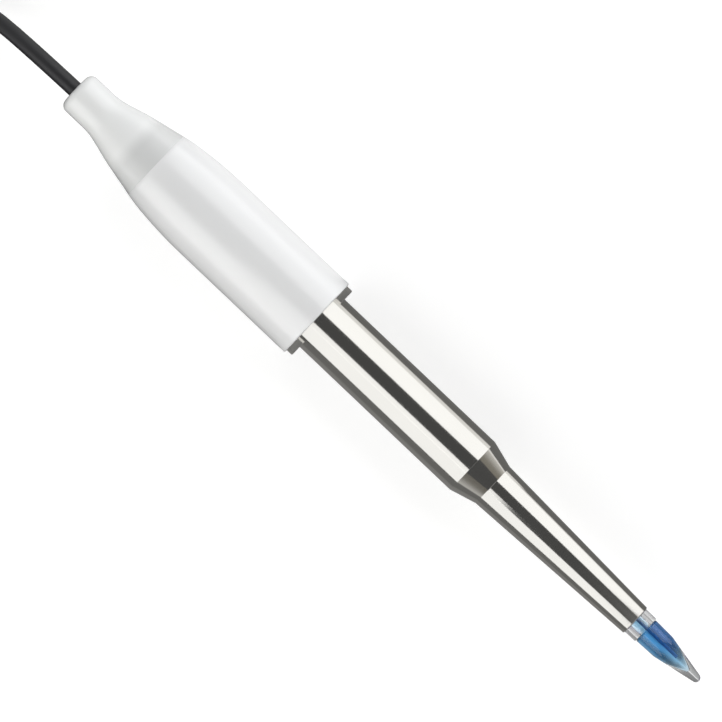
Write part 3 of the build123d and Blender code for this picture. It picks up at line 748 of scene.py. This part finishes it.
class ELECTRODE_OT_cable(bpy.types.Operator):
    """Cable from the boot through the hank to the plug, with its strap and the plug's spring"""

    bl_idname = "electrode.cable"
    bl_label = "Cable"

    def execute(self, context):
        settings = context.scene.electrode_cord
        diameter = settings.diameter / MM
        floor = diameter / 2 - AXIS_Z / MM
        points = [*CABLE_FROM_BOOT, (*HANK_ENTRY, floor)]
        points += self.hank(diameter, settings.arc_points)
        points += [(*HANK_EXIT, floor + HANK_EXIT_LAYER * diameter), *CABLE_TO_PLUG]
        curve = bpy.data.curves.new("cable", "CURVE")
        curve.dimensions = "3D"
        curve.bevel_depth = settings.diameter / 2
        curve.bevel_resolution = CABLE_RESOLUTION
        curve.resolution_u = CABLE_RESOLUTION
        curve.use_fill_caps = True
        spline = curve.splines.new("NURBS")
        spline.points.add(len(points) - 1)
        for point, (x, y, z) in zip(spline.points, points):
            point.co = (*(to_electrode(x) + Vector((0.0, y * MM, z * MM))), 1.0)
        spline.order_u = 3
        spline.use_endpoint_u = True
        cable = bpy.data.objects.new("cable", curve)
        context.collection.objects.link(cable)
        color = tuple(context.scene.electrode_looks.cable_color)
        jacket = plastic_material("cable_jacket", color, 0.42, grain=0.08)
        dress(cable, jacket, ROOT, ("cable_lead", "cable_hank", "cable_tail"))
        strap = self.strap(diameter)
        spring = self.spring()
        self.length(cable)
        return {"FINISHED"}

    def hank(self, diameter, steps):
        """Control points of the turns: out along one side, round the far fold and back."""
        floor = diameter / 2 - AXIS_Z / MM
        points = []
        for number, (column, layer) in enumerate(STRANDS):
            radius = FOLD_RADII[column]
            height = floor + layer * diameter
            points += self.side(radius, height, -1)
            if number == len(STRANDS) - 1:
                break
            points += self.fold(FAR_FOLD, 1, (radius, radius), (height, height), 0.0, steps)
            points += self.side(radius, height, 1)
            next_column, next_layer = STRANDS[number + 1]
            radii = (radius, FOLD_RADII[next_column])
            heights = (height, floor + next_layer * diameter)
            bulge = 0.0
            if next_column == column:
                bulge = FOLD_BULGE * diameter * (1 if column == "outer" else -1)
            points += self.fold(NEAR_FOLD, -1, radii, heights, bulge, steps)
        return points

    def side(self, radius, height, side):
        """Three points along one side, drawn in and lifted where the strap holds them."""
        y = HANK_MIDDLE_Y + side * radius
        middle = (NEAR_FOLD + FAR_FOLD) / 2
        waist = (middle, y - side * WAIST_SHIFT, height + WAIST_LIFT)
        reach = (NEAR_FOLD - FAR_FOLD) / 4
        near = (middle + reach, y - side * WAIST_SHIFT / 2, height + WAIST_LIFT / 2)
        far = (middle - reach, y - side * WAIST_SHIFT / 2, height + WAIST_LIFT / 2)
        return [near, waist, far] if side < 0 else [far, waist, near]

    def fold(self, centre, sign, radii, heights, bulge, steps):
        """Points round one end, from -Y to +Y at the far end (sign 1) and back at the near one."""
        points = []
        # The spline runs inside its control points, so these lie on a slightly wider arc.
        spread = 1 / (0.75 + 0.25 * math.cos(math.pi / steps))
        for step in range(steps + 1):
            share = step / steps
            radius = radii[0] + (radii[1] - radii[0]) * share
            radius += bulge * math.sin(math.pi * share)
            height = heights[0] + (heights[1] - heights[0]) * share
            angle = math.pi * share
            x = centre - sign * math.sin(angle) * radius * spread
            y = HANK_MIDDLE_Y - sign * math.cos(angle) * radius * spread
            points.append((x, y, height))
        return points

    def strap(self, diameter):
        """Woven strap round the waist of the hank, with rounded corners."""
        layers = LAYERS * diameter + WAIST_LIFT
        reach = FOLD_RADII["outer"] - WAIST_SHIFT + diameter / 2
        bm = bmesh.new()
        rings = []
        for x in (-STRAP_WIDTH / 2, STRAP_WIDTH / 2):
            for grow in (STRAP_THICKNESS, 0.0):
                edges = (reach + grow, WAIST_LIFT - grow, layers + grow)
                band = self.band(x, *edges, STRAP_CORNER + grow)
                rings.append([bm.verts.new(point) for point in band])
        count = len(rings[0])
        for first, second in ((0, 1), (1, 3), (3, 2), (2, 0)):
            one, other = rings[first], rings[second]
            for index in range(count):
                after = (index + 1) % count
                bm.faces.new((one[index], one[after], other[after], other[index]))
        middle = to_electrode((NEAR_FOLD + FAR_FOLD) / 2)
        bmesh.ops.scale(bm, vec=(MM, MM, MM), verts=bm.verts)
        bmesh.ops.translate(bm, verts=bm.verts, vec=(middle.x, HANK_MIDDLE_Y * MM, 0.0))
        strap = finish_mesh(bm, "strap")
        return dress(strap, fabric_material(), ROOT, ("hank_strap",))

    def band(self, x, half, bottom, top, corner):
        """Points of a rounded rectangle across the hank at one place along it."""
        points = []
        middles = (
            (half - corner, top - corner, 0.0), (corner - half, top - corner, 90.0),
            (corner - half, bottom + corner, 180.0), (half - corner, bottom + corner, 270.0),
        )
        for y, z, start in middles:
            for step in range(ARC_STEPS + 1):
                angle = math.radians(start + 90.0 * step / ARC_STEPS)
                points.append((x, y + corner * math.cos(angle), z + corner * math.sin(angle)))
        return points

    def spring(self):
        """Coned spring washer of the plug, built coned; the collar presses it flat when pulled."""
        low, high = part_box("spring_washer")
        near, far = high[0] / MM, low[0] / MM
        outer = (high[1] - low[1]) / 2 / MM
        inner = outer - SPRING_CONE
        outline = [
            (near, outer), (near - SPRING_SHEET, outer), (far, inner), (far + SPRING_SHEET, inner),
        ]
        axis = Vector((0.0, (low[1] + high[1]) / 2, (low[2] + high[2]) / 2))
        washer = turned("coned_spring", outline, origin=axis)
        steel = steel_material("spring_steel", (0.55, 0.55, 0.56), 0.25, along_axis=False)
        dress(washer, steel, ROOT, ("spring_washer",))
        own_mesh(washer)
        return washer

    def length(self, cable):
        """Length of the cable's own line, from the curve with no bevel."""
        line = cable.data.copy()
        line.bevel_depth = 0.0
        holder = bpy.data.objects.new("cable_line", line)
        mesh = bpy.data.meshes.new_from_object(holder)
        total = 0.0
        for edge in mesh.edges:
            first, second = edge.vertices
            total += (mesh.vertices[first].co - mesh.vertices[second].co).length
        bpy.data.meshes.remove(mesh)
        bpy.data.objects.remove(holder)
        bpy.data.curves.remove(line)
        return round(total, 4)


# Electrode; corners are (station, radius, fillet), plain points are (station, radius)


SEAM, SEAM_SLOPE = (20.3, 7.35), 0.24
BOOT_END_CORNERS = ((0, 2.13, 0), (0, 4.175, 1.5), (5.8, 4.175, 0))
BOOT_NECK = (5.8, 4.175)
BOOT_MIDDLE, BOOT_SLOPE = (12.47, 5.604), 0.262
BOOT_RIM = ((19.9, 7.254, 0), (20.3, 7.35, 0.03), (20.3, 2.98, 0))
BOOT_POCKET = ((20.3, 2.98, 0), (14.37, 2.98, 1.25), (14.37, 1.63, 0))
BOOT_BORE = ((3.0, 1.63), (2.0, 1.69), (1.0, 1.85), (0.3, 2.04))
PLUG_NOSE = (
    (14.34, 1.63, 0), (14.34, 3.01, 1.25), (20.33, 3.01, 0.05), (20.33, 5.17, 0.15),
    (23.97, 5.17, 0.15), (23.97, 1.63, 0),
)
MILKY_STEP = (to_electrode(13.4).x, to_electrode(16.4).x, 0.08, 0.30)

HANDLE_RIM = ((20.3, 5.2, 0), (20.3, 7.35, 0.03), (20.9, 7.50, 0))
HANDLE_MIDDLE, HANDLE_SLOPE = (25.27, 8.1125), 0.105
HANDLE_FULL = (34.5, 8.6)
HANDLE_END = ((34.5, 8.6, 0), (60.9, 8.6, 0.3), (60.9, 6.61, 0))
HANDLE_BORE = (
    (59.4, 6.61), (59.4, 5.78), (57.3, 5.78), (57.3, 7.25), (55.5, 7.25), (55.5, 5.78),
    (30.97, 5.78), (30.97, 4.6), (24.0, 4.6), (24.0, 5.2),
)

STEEL_CORNERS = (
    (31.0, 5.1, 0), (31.0, 5.75, 0.15), (60.85, 5.75, 0), (60.85, 6.0, 0), (100.1, 6.0, 0.25),
    (105.2, 4.575, 0.6), (141.2, 3.15, 0.15), (141.2, 2.5, 0), (105.2, 3.925, 0), (99.45, 5.1, 0),
)

GLASS_CORNERS = (
    (139.0, 0.0, 0), (139.0, 0.95, 0), (42.0, 0.95, 0), (42.0, 1.45, 0.1),
    (143.8, 1.45, 0.15), (143.8, 2.6, 0.3), (148.2, 2.48, 0),
)
GLASS_TIP, GLASS_TIP_RADIUS = 157.3, 0.85
BUFFER_POINTS = ((60.0, 0.0), (60.0, 0.955), (143.45, 0.955), (144.14, 2.135), (148.2, 2.135))
BUFFER_TIP, BUFFER_TIP_RADIUS = 154.605, 0.355
RING_CORNERS = (
    (138.6, 1.48, 0), (138.6, 2.45, 0), (141.23, 2.45, 0), (141.23, 2.85, 0.12),
    (143.77, 2.85, 0.12), (143.77, 1.48, 0),
)
WIRE_RUNS = 40
WIRE_LEAN = 0.28
WIRE_LEAN_START, WIRE_LEAN_LENGTH = 105.0, 30.0


class ELECTRODE_OT_boot(bpy.types.Operator):
    """Milky boot and the grey plug inside it"""

    bl_idname = "electrode.boot"
    bl_label = "Boot"

    def execute(self, context):
        outline = rounded(BOOT_END_CORNERS, steps=10)
        outline += eased_curve(BOOT_NECK, BOOT_MIDDLE, 0.0, BOOT_SLOPE)
        outline += [BOOT_MIDDLE]
        outline += eased_curve(BOOT_MIDDLE, SEAM, BOOT_SLOPE, SEAM_SLOPE)
        outline += rounded(BOOT_RIM, steps=3)
        outline += rounded(BOOT_POCKET, steps=8)[1:]
        outline += BOOT_BORE
        boot = turned("boot", outline)
        color = tuple(context.scene.electrode_looks.boot_color)
        dress(boot, self.milky(color), ROOT, ("cable_boot",))
        plug = turned("boot_nose", rounded(PLUG_NOSE, steps=8))
        grey = plastic_material("grey_plastic", (0.32, 0.33, 0.34), 0.5)
        dress(plug, grey, ROOT, ("head_plug",))
        return {"FINISHED"}

    def milky(self, color):
        """Soft milky rubber that lets some light through, more of it over the grey plug."""
        shader = Shader("milky_rubber").set(IOR=1.42, Roughness=0.26)
        shader.set(Coat_Weight=1.0, Coat_IOR=1.6, Coat_Roughness=0.26)
        shader.clear_shadow((0.45, 0.45, 0.45))
        clear = shader.step(shader.place_axes()["X"], *MILKY_STEP)
        shader.link(clear, shader.surface.inputs["Transmission Weight"])
        cloud = shader.noise(scale=70.0)
        shader.tint(cloud, shade(color, 0.985), shade(color, 1.01))
        shader.bump(shader.noise(scale=700.0, detail=2.0), strength=0.03, distance=0.00005)
        return shader.material


class ELECTRODE_OT_handle(bpy.types.Operator):
    """White handle with its rounded shoulder"""

    bl_idname = "electrode.handle"
    bl_label = "Handle"

    def execute(self, context):
        outline = rounded(HANDLE_RIM, steps=3)
        rise = eased_curve(SEAM, HANDLE_MIDDLE, SEAM_SLOPE, HANDLE_SLOPE)
        outline += [point for point in rise if point[0] > HANDLE_RIM[-1][0]]
        outline += [HANDLE_MIDDLE]
        outline += eased_curve(HANDLE_MIDDLE, HANDLE_FULL, HANDLE_SLOPE, 0.0)
        outline += rounded(HANDLE_END)
        outline += HANDLE_BORE
        handle = turned("handle", outline)
        color = tuple(context.scene.electrode_looks.handle_color)
        shader = plastic_shader("white_plastic", color, 0.30, grain=0.02)
        shader.set(Coat_Weight=1.0, Coat_IOR=1.75, Coat_Roughness=0.26)
        dress(handle, shader.material, ROOT, ("handle_sleeve",))
        return {"FINISHED"}


class ELECTRODE_OT_steel(bpy.types.Operator):
    """Polished steel body and the ring with two ears below the handle"""

    bl_idname = "electrode.steel"
    bl_label = "Steel body"

    def execute(self, context):
        looks = context.scene.electrode_looks
        color = tuple(looks.steel_color)
        body = turned("steel_tube", rounded(STEEL_CORNERS), sharp_angle=25.0)
        steel = steel_material("polished_steel", color, looks.steel_roughness)
        dress(body, steel, ROOT, ("steel_body",))
        dress_node("end_ring", steel_material("ring_steel", shade(color, 0.95), 0.34))
        return {"FINISHED"}


class ELECTRODE_OT_tip(bpy.types.Operator):
    """Glass spear with its blue filling, and the clear junction ring"""

    bl_idname = "electrode.tip"
    bl_label = "Glass tip"

    def execute(self, context):
        looks = context.scene.electrode_looks
        outline = rounded(GLASS_CORNERS)
        outline += round_point(outline[-1], GLASS_TIP, GLASS_TIP_RADIUS)
        glass = turned("glass_tip", outline, closed=False, sharp_angle=50.0)
        material = glass_material(
            "clear_glass", (0.97, 0.985, 0.99), 0.0, GLASS_IOR, shadow=(0.9, 0.95, 0.98)
        )
        dress(glass, material, ROOT, ("glass_spear",))
        outline = list(BUFFER_POINTS)
        outline += round_point(outline[-1], BUFFER_TIP, BUFFER_TIP_RADIUS)
        liquid = turned("buffer", outline, closed=False)
        blue = liquid_material("blue_buffer", tuple(looks.buffer_color), looks.buffer_density)
        dress(liquid, blue, ROOT, ("inner_buffer",))
        ring = turned("clear_ring", rounded(RING_CORNERS, steps=5))
        clear = glass_material(
            "clear_plastic", (0.97, 0.975, 0.98), 0.05, 1.45, shadow=(0.9, 0.93, 0.95)
        )
        dress(ring, clear, ROOT, ("junction_ring",))
        return {"FINISHED"}


class ELECTRODE_OT_inside(bpy.types.Operator):
    """Measuring wire, and the materials of the pieces sealed inside the electrode"""

    bl_idname = "electrode.inside"
    bl_label = "Inside"

    def execute(self, context):
        silver = plastic_material("coated_silver", (0.15, 0.22, 0.40), 0.6)
        self.wire(silver)
        silicone = plastic_material("silicone", (0.72, 0.72, 0.70), 0.5)
        copper = steel_material("copper", (0.80, 0.42, 0.26), 0.25, along_axis=False)
        grey = bpy.data.materials["grey_plastic"]
        black = plastic_material("black_rubber", (0.02, 0.02, 0.02), 0.5, grain=0.05)
        gel = glass_material(
            "clear_gel", (0.93, 0.94, 0.93), 0.25, WATER_IOR, shadow=(0.9, 0.9, 0.9)
        )
        white = plastic_material("core_insulation", (0.80, 0.80, 0.77), 0.4)
        nickel = steel_material("crimp_nickel", (0.66, 0.64, 0.60), 0.25, along_axis=False)
        looks = {
            "reference_wire": silver, "stem_stopper": silicone,
            "reference_gel": gel, "chamber_plug": grey, "chamber_o_ring": black,
            "handle_o_ring": black, "core_lead": white, "core_splice": copper,
            "shield_lead": copper, "crimp_ring": nickel, "shield_splice": copper,
        }
        for name, material in looks.items():
            dress_node(name, material)
        return {"FINISHED"}

    def wire(self, material):
        """Measuring wire, straight in the stem and leaning a little to one side in the tip."""
        low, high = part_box("measuring_wire")
        start, end = (low[0] - BOOT_END) / MM, (high[0] - BOOT_END) / MM
        radius = (high[1] - low[1]) / 2 / MM
        stations = [start + (end - start) * step / WIRE_RUNS for step in range(WIRE_RUNS + 1)]
        outline = [(start, 0.0)] + [(x, radius) for x in stations] + [(end, 0.0)]
        wire = turned("silver_wire", outline, closed=False, steps=WIRE_SPIN_STEPS)
        for vertex in wire.data.vertices:
            share = ((vertex.co.x - BOOT_END) / MM - WIRE_LEAN_START) / WIRE_LEAN_LENGTH
            share = min(1.0, max(0.0, share))
            vertex.co.y += WIRE_LEAN * MM * share * share * (3 - 2 * share)
        dress(wire, material, ROOT, ("measuring_wire",))


class ELECTRODE_OT_plug(bpy.types.Operator):
    """Materials of the coaxial plug"""

    bl_idname = "electrode.plug"
    bl_label = "Coaxial plug"

    def execute(self, context):
        metal = tuple(context.scene.electrode_looks.metal_color)
        nickel = steel_material("nickel", metal, 0.22, along_axis=False)
        spring = bpy.data.materials["spring_steel"]
        gilt = steel_material("gilt", (0.85, 0.62, 0.26), 0.2, along_axis=False)
        white = plastic_material("white_insulator", (0.85, 0.85, 0.83), 0.45)
        gasket = plastic_material("red_gasket", (0.35, 0.04, 0.03), 0.5)
        rubber = plastic_material("plug_rubber", (0.02, 0.02, 0.021), 0.45, grain=0.06)
        core = bpy.data.materials["core_insulation"]
        looks = {
            "plug_boot": rubber, "crimp_ferrule": nickel, "plug_body": nickel,
            "plug_insulator": white, "center_pin": gilt, "plug_core": core,
            "snap_ring": spring, "thrust_washer": spring, "plug_gasket": gasket,
            "bayonet_collar": nickel,
        }
        for name, material in looks.items():
            dress_node(name, material)
        return {"FINISHED"}


class ELECTRODE_PT_panel(bpy.types.Panel):
    """Lists the operators that build the pieces, and their settings"""

    bl_idname = "ELECTRODE_PT_panel"
    bl_label = "pH electrode"
    bl_space_type = "VIEW_3D"
    bl_region_type = "UI"
    bl_category = "pH electrode"

    def draw(self, context):
        for operator in OPERATORS:
            self.layout.operator(operator.bl_idname)
        for group in GROUPS:
            settings = getattr(context.scene, group)
            box = self.layout.box()
            for name in settings.bl_rna.properties.keys():
                if name not in ("rna_type", "name"):
                    box.prop(settings, name)


GROUPS = {
    "electrode_looks": ElectrodeLooks,
    "electrode_cord": ElectrodeCord,
    "electrode_stage": ElectrodeStage,
}
OPERATORS = (
    ELECTRODE_OT_stage,
    ELECTRODE_OT_cable,
    ELECTRODE_OT_boot,
    ELECTRODE_OT_handle,
    ELECTRODE_OT_steel,
    ELECTRODE_OT_tip,
    ELECTRODE_OT_inside,
    ELECTRODE_OT_plug,
)


def register():
    for kind in (*GROUPS.values(), *OPERATORS, ELECTRODE_PT_panel):
        bpy.utils.register_class(kind)
    for name, group in GROUPS.items():
        setattr(bpy.types.Scene, name, PointerProperty(type=group))


def unregister():
    for name in GROUPS:
        delattr(bpy.types.Scene, name)
    for kind in (ELECTRODE_PT_panel, *reversed(OPERATORS), *reversed(GROUPS.values())):
        bpy.utils.unregister_class(kind)


def main():
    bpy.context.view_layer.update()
    register()
    for operator in OPERATORS:
        category, name = operator.bl_idname.split(".")
        getattr(getattr(bpy.ops, category), name)()


if __name__ == "__main__":
    main()
